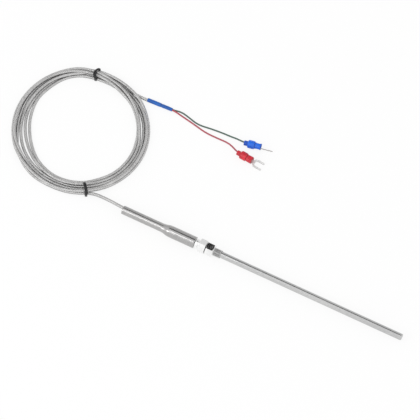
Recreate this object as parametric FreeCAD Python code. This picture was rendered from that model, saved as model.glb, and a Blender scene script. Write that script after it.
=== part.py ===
import FreeCAD, Part
import math
import os

# Threaded thermocouple probe with a movable two-ferrule compression fitting.
# Millimetres. X runs along the probe towards its tip, Z is up, and the origin lies on the axis
# at the shoulder where the process thread meets its hexagon.

Vector = FreeCAD.Vector
X_AXIS = Vector(1, 0, 0)
Z_AXIS = Vector(0, 0, 1)

# Sheath: a drawn tube with a closed tip
sheath_d = 6.0
sheath_wall = 0.5
sheath_reach = 182.2
sheath_root = 30.0
tip_wall = 1.2
tip_round = 1.0

# Thermocouple wires in the sheath
leg_d = 0.8
leg_spacing = 2.2
bead_d = 1.7
bead_length = 4.0
bead_round_share = 0.35
bead_back_from_tip = 2.6

# Process thread and body of the fitting
sliding_gap = 0.05
thread_d = 8.0
thread_length = 7.0
thread_chamfer = 0.6
body_hex_af = 11.0
body_hex_length = 7.1
body_hex_turn = -3.4
hex_chamfer_angle = 30.0
hex_face_share = 0.97
coupling_length = 3.5
coupling_gap = 0.05
seat_half_angle = 20.0
seat_depth_radial = 0.7
neck_wall = 0.7

# Ferrules
ferrule_wall = 0.85
ferrule_nose_wall = 0.2
cone_gap = 0.1
front_flange = 0.9
front_recess = 0.35
back_length = 1.2
stack_gap = 0.05
ferrule_side_gap = 0.3

# Compression nut with its turned collar
nut_hex_af = 11.0
nut_hex_length = 6.7
nut_hex_turn = -19.8
hex_gap = 0.4
collar_d = 9.2
collar_length = 2.5
collar_edge = 0.35
collar_neck_d = 8.2
collar_neck_length = 1.1
nut_rear_gap = 0.1

# Transition sleeve, its bush and what it holds
sleeve_nut_gap = 0.3
sleeve_thick_d = 10.5
sleeve_thick_wall = 0.75
sleeve_thick_length = 23.8
sleeve_taper_length = 9.0
sleeve_thin_d = 7.8
sleeve_thin_wall = 0.7
sleeve_thin_length = 38.0
sleeve_edge = 0.2
bush_length = 5.0
potting_depth = 27.0
splice_d = 2.0
splice_length = 6.0
splice_spacing = 3.2
leg_tail = 8.0
core_bare_d = 0.6
core_run = 9.0

# Cable, leads and the surface that everything lies on
cable_d = 2.7
lead_d = 1.2
cable_stub_in_potting = 5.0
wire_gap = 0.1
lying_gap = 0.05

# Coil: mean outline of all its turns, drawn together by two ties and slack on its far side
coil_centre = (-156.7, 52.6)
coil_outer_d = 121.0
coil_tied_width = 10.3
coil_near_width = 11.75
coil_slack_width = 16.75
coil_near_angle = 25.0
coil_height = 6.25
coil_edge = 1.3

# Twist ties
tie_thickness = 1.0
tie_width = 1.4
tie_corner = 1.2
tie_tail_d = 1.7
tie_tail_length = 5.0
tie_tail_root = 0.3
tie_inner_gap = 0.4
tie_top_angle = 102.4
tie_top_outer_gap = 0.2
tie_top_tail_share = 0.16
tie_bottom_angle = -59.2
tie_bottom_outer_gap = 1.1
tie_bottom_tail_share = 0.63

# Heat-shrink sleeve over the end of the braid
shrink_start = Vector(-118.9, 105.9, 0)
shrink_yaw = 2.4
shrink_braid_length = 13.4
shrink_lead_length = 10.5
shrink_wall = 0.4
shrink_step = 0.15
braid_end_back = 0.5

# Fork terminals: insulating sleeve, barrel and fork
terminal_rear_d = 4.8
terminal_rear_length = 2.6
terminal_flare_length = 2.0
terminal_hump_d = 7.2
terminal_hump_length = 5.0
terminal_front_d = 7.0
terminal_front_length = 5.9
terminal_edge = 0.5
crimp_die_r = 6.0
crimp_thickness = 4.4
crimp_from_front = 2.9
lead_in_terminal = 4.0
barrel_d = 3.2
barrel_length = 8.0
fork_thickness = 0.8
fork_width = 7.5
fork_slot = 4.5
fork_reach = 10.5
fork_slot_depth = 7.4
fork_neck_width = 3.2
fork_tip_round = 0.6
fork_root_overlap = 0.2
conductor_d = 0.7
conductor_length = 5.5
red_rear = (-25.7, 95.6)
red_yaw = -5.0
blue_rear = (-24.7, 106.4)
blue_yaw = 6.0

# Places along the axis that follow from the sizes above
hex_corner_share = 1 / math.cos(math.radians(30))
nut_corner_turn = 30 - abs(nut_hex_turn)
floor_z = -nut_hex_af / 2 * hex_corner_share * math.cos(math.radians(nut_corner_turn))
fitting_bore_r = sheath_d / 2 + sliding_gap
hex_back_x = -body_hex_length
coupling_end_x = hex_back_x - coupling_length
seat_mouth_r = fitting_bore_r + seat_depth_radial
seat_slope = math.tan(math.radians(seat_half_angle))
neck_r = seat_mouth_r + neck_wall
ferrule_r = fitting_bore_r + ferrule_wall
nut_bore_r = neck_r + coupling_gap
nut_front_x = hex_back_x - hex_gap
nut_hex_back_x = nut_front_x - nut_hex_length
nut_back_x = nut_hex_back_x - collar_neck_length - collar_length
front_nose_r = fitting_bore_r + ferrule_nose_wall
front_nose_x = coupling_end_x + (seat_mouth_r - cone_gap - front_nose_r) / seat_slope
front_cone_x = coupling_end_x + (seat_mouth_r - cone_gap - ferrule_r) / seat_slope
front_back_x = front_cone_x - front_flange
back_front_x = front_back_x - stack_gap
back_back_x = back_front_x - back_length
nut_shoulder_x = back_back_x - stack_gap
sleeve_front_x = nut_back_x - sleeve_nut_gap
sleeve_taper_x = sleeve_front_x - sleeve_thick_length
sleeve_thin_x = sleeve_taper_x - sleeve_taper_length
sleeve_mouth_x = sleeve_thin_x - sleeve_thin_length
potting_x = sleeve_mouth_x + potting_depth
bush_back_x = sleeve_front_x - bush_length
sheath_back_x = -sheath_root
splice_front_x = sheath_back_x - leg_tail
splice_back_x = splice_front_x - splice_length
braid_end_x = potting_x + cable_stub_in_potting
cable_lie_z = floor_z + cable_d / 2
over_tie_z = cable_lie_z + tie_thickness + lying_gap
lead_lie_z = floor_z + lead_d / 2 + lying_gap
shrink_r = cable_d / 2 + shrink_wall
shrink_z = floor_z + shrink_r
red_z = floor_z + terminal_hump_d / 2 + lying_gap
blue_z = floor_z + fork_width / 2 + lying_gap
coil_outer_r = coil_outer_d / 2
coil_hole_long_r = coil_outer_r - coil_tied_width
coil_hole_short_r = coil_outer_r - (coil_near_width + coil_slack_width) / 2
coil_hole_shift = (coil_slack_width - coil_near_width) / 2


def by_coil(angle, outside, z):
    """Point by the coil's rim: its direction from the coil's centre and its distance outside the rim."""
    turn = math.radians(angle)
    reach = coil_outer_r + outside
    return Vector(coil_centre[0] + reach * math.cos(turn), coil_centre[1] + reach * math.sin(turn), z)


# Cable from the potting, out of the sleeve's mouth and down to the coil's outer side
cable_lead_points = [
    Vector(braid_end_x, 0.0, 0.0),
    Vector(-74.0, 0.6, 0.4),
    Vector(-91.5, 1.6, 0.6),
    Vector(-107.0, 4.7, -2.3),
    by_coil(-54.1, 0.4, over_tie_z + 0.1),
    by_coil(-69.1, -1.0, over_tie_z),
    by_coil(-84.4, -2.0, cable_lie_z + 0.3),
]

# Cable from under the coil's outer turns into the heat-shrink sleeve
cable_tail_points = [
    by_coil(90.3, -2.1, cable_lie_z),
    by_coil(74.1, -1.2, cable_lie_z),
    by_coil(58.4, 1.9, cable_lie_z + 0.1),
]

# Leads from the heat-shrink sleeve to the terminals
green_points = [
    Vector(-93.5, 107.4, shrink_z - lead_d / 2),
    Vector(-86.0, 110.0, lead_lie_z),
    Vector(-77.5, 108.6, lead_lie_z),
    Vector(-69.0, 106.7, lead_lie_z),
    Vector(-58.5, 106.8, lead_lie_z + 0.1),
    Vector(-46.5, 107.4, lead_lie_z + 0.2),
    Vector(-35.5, 107.0, lead_lie_z + 1.8),
]
red_points = [
    Vector(-94.0, 106.6, shrink_z + lead_d / 2 + 0.1),
    Vector(-83.5, 106.3, lead_lie_z + 0.2),
    Vector(-71.5, 104.4, lead_lie_z),
    Vector(-59.5, 101.3, lead_lie_z),
    Vector(-48.0, 100.6, lead_lie_z + 0.5),
    Vector(-37.0, 99.5, lead_lie_z + 1.9),
]


def save(shape, node):
    """Write one piece to its own file, after checking that it is a sound solid."""
    solids = shape.Solids
    if not shape.isValid() or not solids:
        raise ValueError(node + " is not a sound solid")
    out = solids[0] if len(solids) == 1 else Part.makeCompound(solids)
    out.exportStep("parts/" + node + ".step")
    print(node, "solids", len(solids), "volume", round(out.Volume, 2))


def largest(shape):
    """The largest solid of a cut shape."""
    return max(shape.Solids, key=lambda solid: solid.Volume)


def turned(profile):
    """Solid turned about the X axis from a closed outline of (x, radius) corners."""
    corners = [Vector(x, r, 0) for x, r in profile]
    outline = Part.makePolygon(corners + [corners[0]])
    return Part.Face(outline).revolve(Vector(0, 0, 0), X_AXIS, 360)


def rod(x0, x1, r, y=0.0, z=0.0):
    """Round bar along X from x0 to x1, in either order."""
    start = Vector(min(x0, x1), y, z)
    return Part.makeCylinder(r, abs(x1 - x0), start, X_AXIS)


def hexagon(af, x0, x1, turn):
    """Hexagon bar along X, flat side down and then turned, with both ends chamfered round."""
    corner_r = af / 2 * hex_corner_share
    corners = []
    for i in range(7):
        angle = math.radians(turn + 60 * i)
        corners.append(Vector(x0, corner_r * math.cos(angle), corner_r * math.sin(angle)))
    bar = Part.Face(Part.makePolygon(corners)).extrude(Vector(x1 - x0, 0, 0))
    face_r = af / 2 * hex_face_share
    depth = (corner_r - face_r) * math.tan(math.radians(hex_chamfer_angle))
    limit = turned([(x0, 0), (x0, face_r), (x0 + depth, corner_r), (x1 - depth, corner_r), (x1, face_r), (x1, 0)])
    return bar.common(limit)


def cord_path(points, name):
    """Straight runs joined by tangent arcs, each as large as its two runs allow."""
    edges = []
    start = points[0]
    radii = []
    for before, corner, after in zip(points, points[1:], points[2:]):
        run_in = corner - before
        run_out = after - corner
        half_turn = run_in.getAngle(run_out) / 2
        reach = 0.45 * min(run_in.Length, run_out.Length)
        radius = reach / math.tan(half_turn)
        radii.append(round(radius, 1))
        arc_start = corner - run_in.normalize() * reach
        arc_end = corner + run_out.normalize() * reach
        bisector = (arc_start + arc_end) * 0.5 - corner
        sag = radius / math.cos(half_turn) - radius
        arc_middle = corner + bisector.normalize() * sag
        edges.append(Part.LineSegment(start, arc_start).toShape())
        edges.append(Part.Arc(arc_start, arc_middle, arc_end).toShape())
        start = arc_end
    edges.append(Part.LineSegment(start, points[-1]).toShape())
    path = Part.Wire(edges)
    print(name, "length", round(path.Length, 1), "radii", radii)
    return path


def cord(points, diameter, name):
    """Round cord along a path of runs and arcs; its volume is printed against section times length."""
    path = cord_path(points, name)
    direction = points[1] - points[0]
    circle = Part.makeCircle(diameter / 2, points[0], direction)
    tube = path.makePipeShell([Part.Wire([circle])], True, False)
    section = math.pi * diameter ** 2 / 4
    print(name, "volume share", round(tube.Volume / (section * path.Length), 4))
    return tube


def probe_sheath():
    """Drawn tube with a closed tip whose rim is rounded."""
    outer = rod(sheath_back_x, sheath_reach, sheath_d / 2)
    rim = [e for e in outer.Edges if e.BoundBox.XMin > sheath_reach - 0.01]
    outer = outer.makeFillet(tip_round, rim)
    return outer.cut(rod(sheath_back_x, sheath_reach - tip_wall, sheath_d / 2 - sheath_wall))


def junction_bead():
    """Weld bead with rounded ends across both wires, just behind the tip."""
    start = Vector(sheath_reach - tip_wall - bead_back_from_tip, -bead_length / 2, 0)
    bar = Part.makeCylinder(bead_d / 2, bead_length, start, Vector(0, 1, 0))
    rims = [e for e in bar.Edges if e.BoundBox.YLength < 0.01]
    return bar.makeFillet(bead_d * bead_round_share, rims)


def thermocouple_leg(side, bead):
    """Wire from the bead back through the sheath to its splice barrel, spread in the sleeve."""
    x_bead = sheath_reach - tip_wall - bead_back_from_tip
    y = side * leg_spacing / 2
    y_splice = side * splice_spacing / 2
    spread_x = sheath_back_x - leg_tail * 0.5
    points = [
        Vector(x_bead, y, 0),
        Vector(sheath_back_x - 0.1 * leg_tail, y, 0),
        Vector(spread_x, y_splice, 0),
        Vector(splice_front_x - splice_length / 2, y_splice, 0),
    ]
    return largest(cord(points, leg_d, "leg").cut(bead))


def mineral_core(pieces):
    """Packed powder that fills the sheath round the wires and the bead."""
    core = rod(sheath_back_x, sheath_reach - tip_wall, sheath_d / 2 - sheath_wall)
    return largest(core.cut(pieces))


def sheath_bush():
    """Ring that centres the sheath in the sleeve and closes the sleeve's end."""
    outer_r = sleeve_thick_d / 2 - sleeve_thick_wall
    ring = rod(sleeve_front_x, bush_back_x, outer_r)
    return ring.cut(rod(sleeve_front_x, bush_back_x, sheath_d / 2))


def sleeve_outline(inset_thick, inset_thin):
    """Corners of the stepped sleeve's wall line, set in from its outer face."""
    thick_r = sleeve_thick_d / 2 - inset_thick
    thin_r = sleeve_thin_d / 2 - inset_thin
    return [(sleeve_front_x, thick_r), (sleeve_taper_x, thick_r), (sleeve_thin_x, thin_r), (sleeve_mouth_x, thin_r)]


def sleeve_space():
    """Everything inside the sleeve's wall, from end to end."""
    line = sleeve_outline(sleeve_thick_wall, sleeve_thin_wall)
    return turned([(sleeve_front_x, 0)] + line + [(sleeve_mouth_x, 0)])


def transition_sleeve():
    """Swaged tube: thick by the fitting, tapered, then thin and open at the cable."""
    line = sleeve_outline(0, 0)
    solid = turned([(sleeve_front_x, 0)] + line + [(sleeve_mouth_x, 0)])
    rims = [e for e in solid.Edges if e.BoundBox.XLength < 0.01 and (
        e.BoundBox.XMin > sleeve_front_x - 0.01 or e.BoundBox.XMax < sleeve_mouth_x + 0.01)]
    solid = solid.makeChamfer(sleeve_edge, rims)
    return solid.cut(sleeve_space())


def splice(side):
    """Crimp barrel round the end of a thermocouple wire and the end of a cable core."""
    return rod(splice_back_x, splice_front_x, splice_d / 2, side * splice_spacing / 2)


def cable_core(side):
    """Insulated wire from the braid's end to its splice, with a bare end in the barrel."""
    y_splice = side * splice_spacing / 2
    y_braid = side * (lead_d + wire_gap) / 2
    points = [
        Vector(braid_end_x + wire_gap, y_braid, 0),
        Vector(braid_end_x + 0.2 * core_run, y_braid, 0),
        Vector(splice_back_x - 0.2 * core_run, y_splice, 0),
        Vector(splice_back_x, y_splice, 0),
    ]
    wire = cord(points, lead_d, "core")
    bare = rod(splice_back_x, splice_back_x + splice_length / 2, core_bare_d / 2, y_splice)
    return wire.fuse(bare)


def potting(pieces):
    """Cement that fills the sleeve behind its bush, round everything that it holds."""
    room = rod(bush_back_x, potting_x, sleeve_thick_d)
    return largest(sleeve_space().common(room).cut(pieces))


def fitting_body():
    """Hexagon with the process thread in front and the coupling thread and cone seat behind."""
    thread = turned([(0, 0), (0, thread_d / 2), (thread_length - thread_chamfer, thread_d / 2),
                     (thread_length, thread_d / 2 - thread_chamfer), (thread_length, 0)])
    coupling = rod(coupling_end_x, hex_back_x, neck_r)
    flats = hexagon(body_hex_af, hex_back_x, 0, body_hex_turn)
    seat_end_x = coupling_end_x + (seat_mouth_r - fitting_bore_r) / seat_slope
    bore = turned([(coupling_end_x, 0), (coupling_end_x, seat_mouth_r), (seat_end_x, fitting_bore_r),
                   (thread_length, fitting_bore_r), (thread_length, 0)])
    return flats.multiFuse([thread, coupling]).cut(bore).removeSplitter()


def front_ferrule():
    """Ring with a long cone that wedges into the body's seat, and a dished back."""
    dish_r = fitting_bore_r + front_recess
    return turned([
        (front_nose_x, fitting_bore_r), (front_nose_x, front_nose_r), (front_cone_x, ferrule_r),
        (front_back_x, ferrule_r), (front_back_x, dish_r), (front_back_x + front_recess, fitting_bore_r)])


def back_ferrule():
    """Short ring behind the front ferrule, with a bevelled nose that enters its dished back."""
    nose_r = fitting_bore_r + front_recess - stack_gap
    return turned([
        (back_front_x + front_recess - stack_gap, fitting_bore_r), (back_front_x, nose_r),
        (back_front_x, ferrule_r), (back_back_x, ferrule_r), (back_back_x, fitting_bore_r)])


def compression_nut():
    """Chamfered hexagon with a turned collar, bored for the coupling thread and the ferrules."""
    flats = hexagon(nut_hex_af, nut_hex_back_x, nut_front_x, nut_hex_turn)
    neck_x = nut_hex_back_x - collar_neck_length
    collar = turned([
        (nut_back_x, 0), (nut_back_x, collar_d / 2 - collar_edge), (nut_back_x + collar_edge, collar_d / 2),
        (neck_x, collar_d / 2), (neck_x + collar_edge, collar_neck_d / 2),
        (nut_hex_back_x, collar_neck_d / 2), (nut_hex_back_x, 0)])
    rear_r = sheath_d / 2 + nut_rear_gap
    ferrule_space_r = ferrule_r + ferrule_side_gap
    bore = turned([
        (nut_back_x, 0), (nut_back_x, rear_r), (nut_shoulder_x, rear_r), (nut_shoulder_x, ferrule_space_r),
        (coupling_end_x - stack_gap, ferrule_space_r), (coupling_end_x - stack_gap, nut_bore_r),
        (nut_front_x, nut_bore_r), (nut_front_x, 0)])
    return flats.fuse(collar).cut(bore).removeSplitter()


def coil_hole_reach(angle):
    """Distance from the coil's centre to the edge of its shifted elliptical hole, in one direction."""
    turn = math.radians(angle - coil_near_angle)
    across = math.cos(turn) / coil_hole_short_r
    along = math.sin(turn) / coil_hole_long_r
    shift = coil_hole_shift / coil_hole_short_r
    square = across ** 2 + along ** 2
    half = across * shift
    return (half + math.sqrt(half ** 2 + square * (1 - shift ** 2))) / square


def cable_coil():
    """Outer shape of all the coil's turns: a round ring, wider where the turns hang slack."""
    base = Vector(coil_centre[0], coil_centre[1], floor_z)
    hole = Part.Ellipse(Vector(0, 0, 0), coil_hole_long_r, coil_hole_short_r)
    hole_face = Part.Face(Part.Wire([hole.toShape()]))
    hole_face.rotate(Vector(0, 0, 0), Z_AXIS, coil_near_angle + 90)
    near = math.radians(coil_near_angle)
    hole_face.translate(base + Vector(math.cos(near), math.sin(near), 0) * coil_hole_shift)
    disc = Part.makeCylinder(coil_outer_r, coil_height, base, Z_AXIS)
    ring = disc.cut(hole_face.extrude(Vector(0, 0, coil_height)))
    rims = [e for e in ring.Edges if e.BoundBox.ZLength < 0.01]
    return ring.makeFillet(coil_edge, rims)


def twist_tie(angle, outer_gap, tail_share):
    """Flat band round the coil's turns, with its two ends twisted into a short tail on top."""
    low = floor_z
    high = low + coil_height + tie_thickness
    inner = coil_hole_reach(angle) - tie_inner_gap - tie_thickness
    width = coil_outer_r + outer_gap + tie_thickness - inner
    bands = []
    for inset in (0, tie_thickness):
        size = (width - 2 * inset, high - low - 2 * inset)
        block = Part.makeBox(size[0], tie_width, size[1], Vector(inner + inset, -tie_width / 2, low + inset))
        along = [e for e in block.Edges if e.BoundBox.YLength > tie_width / 2]
        bands.append(block.makeFillet(tie_corner - inset / 2, along))
    band = bands[0].cut(bands[1])
    tail_start = Vector(inner + width * tail_share, tie_width / 2 - tie_tail_root, high)
    tail = Part.makeCylinder(tie_tail_d / 2, tie_tail_length, tail_start, Vector(0.5, 1, 0.05))
    tie = band.fuse(tail)
    tie.rotate(Vector(0, 0, 0), Z_AXIS, angle)
    tie.translate(Vector(coil_centre[0], coil_centre[1], 0))
    return tie


def shrink_frame():
    """The heat-shrink sleeve's start and direction."""
    yaw = math.radians(shrink_yaw)
    start = Vector(shrink_start.x, shrink_start.y, shrink_z)
    return start, Vector(math.cos(yaw), math.sin(yaw), 0)


def heat_shrink(pieces):
    """Shrunk sleeve, a little thinner where the braid under it ends."""
    start, direction = shrink_frame()
    over_braid = Part.makeCylinder(shrink_r, shrink_braid_length, start, direction)
    middle = start + direction * shrink_braid_length
    taper_length = 2 * shrink_step
    taper = Part.makeCone(shrink_r, shrink_r - shrink_step, taper_length, middle, direction)
    rest = middle + direction * taper_length
    over_leads = Part.makeCylinder(shrink_r - shrink_step, shrink_lead_length - taper_length, rest, direction)
    return largest(over_braid.multiFuse([taper, over_leads]).cut(pieces))


def terminal_frame(rear, z, yaw, roll):
    """Placement that carries a terminal from its own frame to where it lies."""
    roll_turn = FreeCAD.Rotation(X_AXIS, roll)
    yaw_turn = FreeCAD.Rotation(Z_AXIS, yaw)
    return FreeCAD.Placement(Vector(rear[0], rear[1], z), yaw_turn.multiply(roll_turn))


def lead_end(rear, z, yaw, before, inside):
    """The last two points of a lead: on the terminal's axis, before it and inside it."""
    turn = math.radians(yaw)
    direction = Vector(math.cos(turn), math.sin(turn), 0)
    start = Vector(rear[0], rear[1], z)
    return [start - direction * before, start + direction * inside]


def fork():
    """Crimp barrel, neck and U-shaped fork, made from one tinned sheet."""
    front_x = terminal_rear_length + terminal_flare_length + terminal_hump_length + terminal_front_length
    tip_x = front_x + fork_reach
    centre_x = tip_x - fork_slot_depth + fork_slot / 2
    half = fork_thickness / 2

    def plate(x0, x1, width):
        return Part.makeBox(x1 - x0, width, fork_thickness, Vector(x0, -width / 2, -half))

    round_end = Part.makeCylinder(fork_width / 2, fork_thickness, Vector(centre_x, 0, -half), Z_AXIS)
    pad = round_end.fuse(plate(centre_x, tip_x, fork_width))
    slot_end = Part.makeCylinder(fork_slot / 2, fork_thickness, Vector(centre_x, 0, -half), Z_AXIS)
    pad = pad.cut(slot_end.fuse(plate(centre_x, tip_x, fork_slot)))
    tips = [e for e in pad.Edges if e.BoundBox.XMin > tip_x - 0.01 and e.BoundBox.ZLength > half]
    pad = pad.makeFillet(fork_tip_round, tips)
    barrel_end_x = lead_in_terminal + barrel_length
    barrel = rod(lead_in_terminal, barrel_end_x, barrel_d / 2)
    neck = plate(barrel_end_x - fork_neck_width / 2, centre_x - fork_slot / 2 - fork_root_overlap, fork_neck_width)
    bore = rod(lead_in_terminal, lead_in_terminal + conductor_length, conductor_d / 2)
    return pad.multiFuse([barrel, neck]).cut(bore)


def insulator(pieces):
    """Plastic sleeve: pinched on the lead, humped over the barrel's rear, crimped flat in front."""
    flare_x = terminal_rear_length + terminal_flare_length
    hump_x = flare_x + terminal_hump_length
    front_x = hump_x + terminal_front_length
    rear_r = terminal_rear_d / 2
    hump_r = terminal_hump_d / 2
    front_r = terminal_front_d / 2
    body = turned([
        (0, 0), (0, rear_r - terminal_edge), (terminal_edge, rear_r), (terminal_rear_length, rear_r),
        (flare_x, hump_r - terminal_edge / 2), (flare_x + terminal_edge, hump_r),
        (hump_x - terminal_edge, hump_r), (hump_x, front_r - terminal_edge / 2),
        (front_x - terminal_edge, front_r), (front_x, front_r - terminal_edge), (front_x, 0)])
    die_x = front_x - crimp_from_front
    for side in (-1, 1):
        die_z = side * (crimp_thickness / 2 + crimp_die_r)
        start = Vector(die_x, -terminal_hump_d, die_z)
        body = body.cut(Part.makeCylinder(crimp_die_r, 2 * terminal_hump_d, start, Vector(0, 1, 0)))
    return largest(body.cut(pieces))


def conductor():
    """Bare wire end in the terminal's barrel."""
    return rod(lead_in_terminal, lead_in_terminal + conductor_length, conductor_d / 2)


def build_probe():
    """Sheath, its filling and wires, and the sleeve with what it holds."""
    bead = junction_bead()
    legs = [thermocouple_leg(side, bead) for side in (1, -1)]
    sheath = probe_sheath()
    core = mineral_core(legs + [bead])
    cores = [cable_core(side) for side in (1, -1)]
    splices = [largest(splice(side).cut([leg, wire])) for side, leg, wire in zip((1, -1), legs, cores)]
    lead = cord(cable_lead_points, cable_d, "cable_lead")
    held = [sheath, core, lead] + legs + splices + cores
    save(sheath, "probe_sheath")
    save(core, "mineral_core")
    save(bead, "hot_junction")
    for name, leg, barrel, wire in zip(("positive", "negative"), legs, splices, cores):
        save(leg, name + "_leg")
        save(barrel, name + "_splice")
        save(wire, name + "_core")
    save(sheath_bush(), "sheath_bush")
    save(transition_sleeve(), "transition_sleeve")
    save(potting(held), "potting")
    save(lead, "cable_lead")
    return lead


def build_fitting():
    """The movable fitting's four pieces."""
    save(fitting_body(), "fitting_body")
    save(compression_nut(), "compression_nut")
    save(front_ferrule(), "front_ferrule")
    save(back_ferrule(), "back_ferrule")


def build_cable(lead):
    """Coil, ties, tail, heat-shrink sleeve, leads and terminals."""
    ties = {
        "tie_top": twist_tie(tie_top_angle, tie_top_outer_gap, tie_top_tail_share),
        "tie_bottom": twist_tie(tie_bottom_angle, tie_bottom_outer_gap, tie_bottom_tail_share),
    }
    start, direction = shrink_frame()
    braid_end = start + direction * (shrink_braid_length - braid_end_back)
    tail = cord(cable_tail_points + [braid_end], cable_d, "cable_tail")
    coil = cable_coil()
    for name, tie in ties.items():
        coil = coil.cut(tie)
        save(largest(tie.cut(lead)), name)
    save(largest(coil), "cable_coil")
    save(tail, "cable_tail")
    lift = Vector(0, 0, (lead_d + wire_gap) / 2)
    wires_start = braid_end + direction * wire_gap
    terminals = (
        ("green_lead", "blue", green_points, -1, blue_rear, blue_z, blue_yaw, 90),
        ("red_lead", "red", red_points, 1, red_rear, red_z, red_yaw, 0),
    )
    leads = []
    for lead_name, colour, points, level, rear, z, yaw, roll in terminals:
        ends = lead_end(rear, z, yaw, lead_in_terminal, lead_in_terminal)
        wire = cord([wires_start + lift * level] + points + ends, lead_d, lead_name)
        leads.append(wire)
        save(wire, lead_name)
        place = terminal_frame(rear, z, yaw, roll)
        stub = rod(-lead_in_terminal, lead_in_terminal, lead_d / 2)
        metal = fork()
        inner = conductor()
        for shape, name in ((metal, colour + "_fork"), (insulator([stub, metal, inner]), colour + "_insulator"),
                            (inner, lead_name.split("_")[0] + "_conductor")):
            shape.Placement = place.multiply(shape.Placement)
            save(shape, name)
    save(heat_shrink([tail] + leads), "heat_shrink")


os.makedirs("parts", exist_ok=True)
cable_out = build_probe()
build_fitting()
build_cable(cable_out)
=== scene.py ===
"""Looks of a threaded thermocouple probe with a braided cable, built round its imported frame.

Metres throughout; the tables are written in millimetres and multiplied by MM.
"""
import math
import bpy
import numpy as np
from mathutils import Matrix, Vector


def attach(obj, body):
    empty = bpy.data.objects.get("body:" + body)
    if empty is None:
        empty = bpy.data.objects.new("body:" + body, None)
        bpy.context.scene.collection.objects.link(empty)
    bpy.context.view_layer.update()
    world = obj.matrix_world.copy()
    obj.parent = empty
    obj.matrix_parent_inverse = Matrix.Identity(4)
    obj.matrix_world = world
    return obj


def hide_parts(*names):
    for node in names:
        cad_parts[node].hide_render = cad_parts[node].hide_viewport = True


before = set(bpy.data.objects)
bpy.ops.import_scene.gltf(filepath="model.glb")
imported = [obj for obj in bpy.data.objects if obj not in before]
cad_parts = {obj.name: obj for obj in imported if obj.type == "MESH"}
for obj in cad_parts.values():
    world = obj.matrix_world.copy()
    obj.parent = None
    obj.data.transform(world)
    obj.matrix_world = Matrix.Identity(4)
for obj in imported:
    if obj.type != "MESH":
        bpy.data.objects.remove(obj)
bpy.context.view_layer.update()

MM = 0.001
TURN = 2 * math.pi

# Camera of the photograph: what it is aimed at, where it looks, and how wide it sees
CAMERA_AIM = (-21.0, 33.9, 0.0)
CAMERA_LOOK = (-0.1902, 0.3774, -0.9063)
CAMERA_DISTANCE = 6000.0
CAMERA_LENS = 589.2

# Surface that everything lies on
FLOOR_Z = -6.2505

# Cable: diameter, its way out of the sleeve and its way to the heat shrink
CABLE_D = 2.7
CABLE_LEAD = (
    (-56.9, 0.0, 0.0), (-74.0, 0.6, 0.4), (-91.5, 1.6, 0.6), (-107.0, 3.6, -2.0),
    (-121.0, 3.9, -3.75), (-135.2, -3.5, -3.85), (-150.9, -6.5, -4.60),
)
CABLE_TAIL = (
    (-157.01, 111.0, -4.90), (-140.70, 108.77, -4.90), (-124.83, 105.5, -4.80), (-106.2, 107.2, -4.50),
)
COIL_CENTRE = (-156.7, 52.6)
# Degrees between the points of the coil, and the share of their radius at which a spline round them runs
TURN_STEP = 15
SPLINE_INSET = 0.75 + 0.25 * math.cos(math.radians(TURN_STEP))
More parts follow.
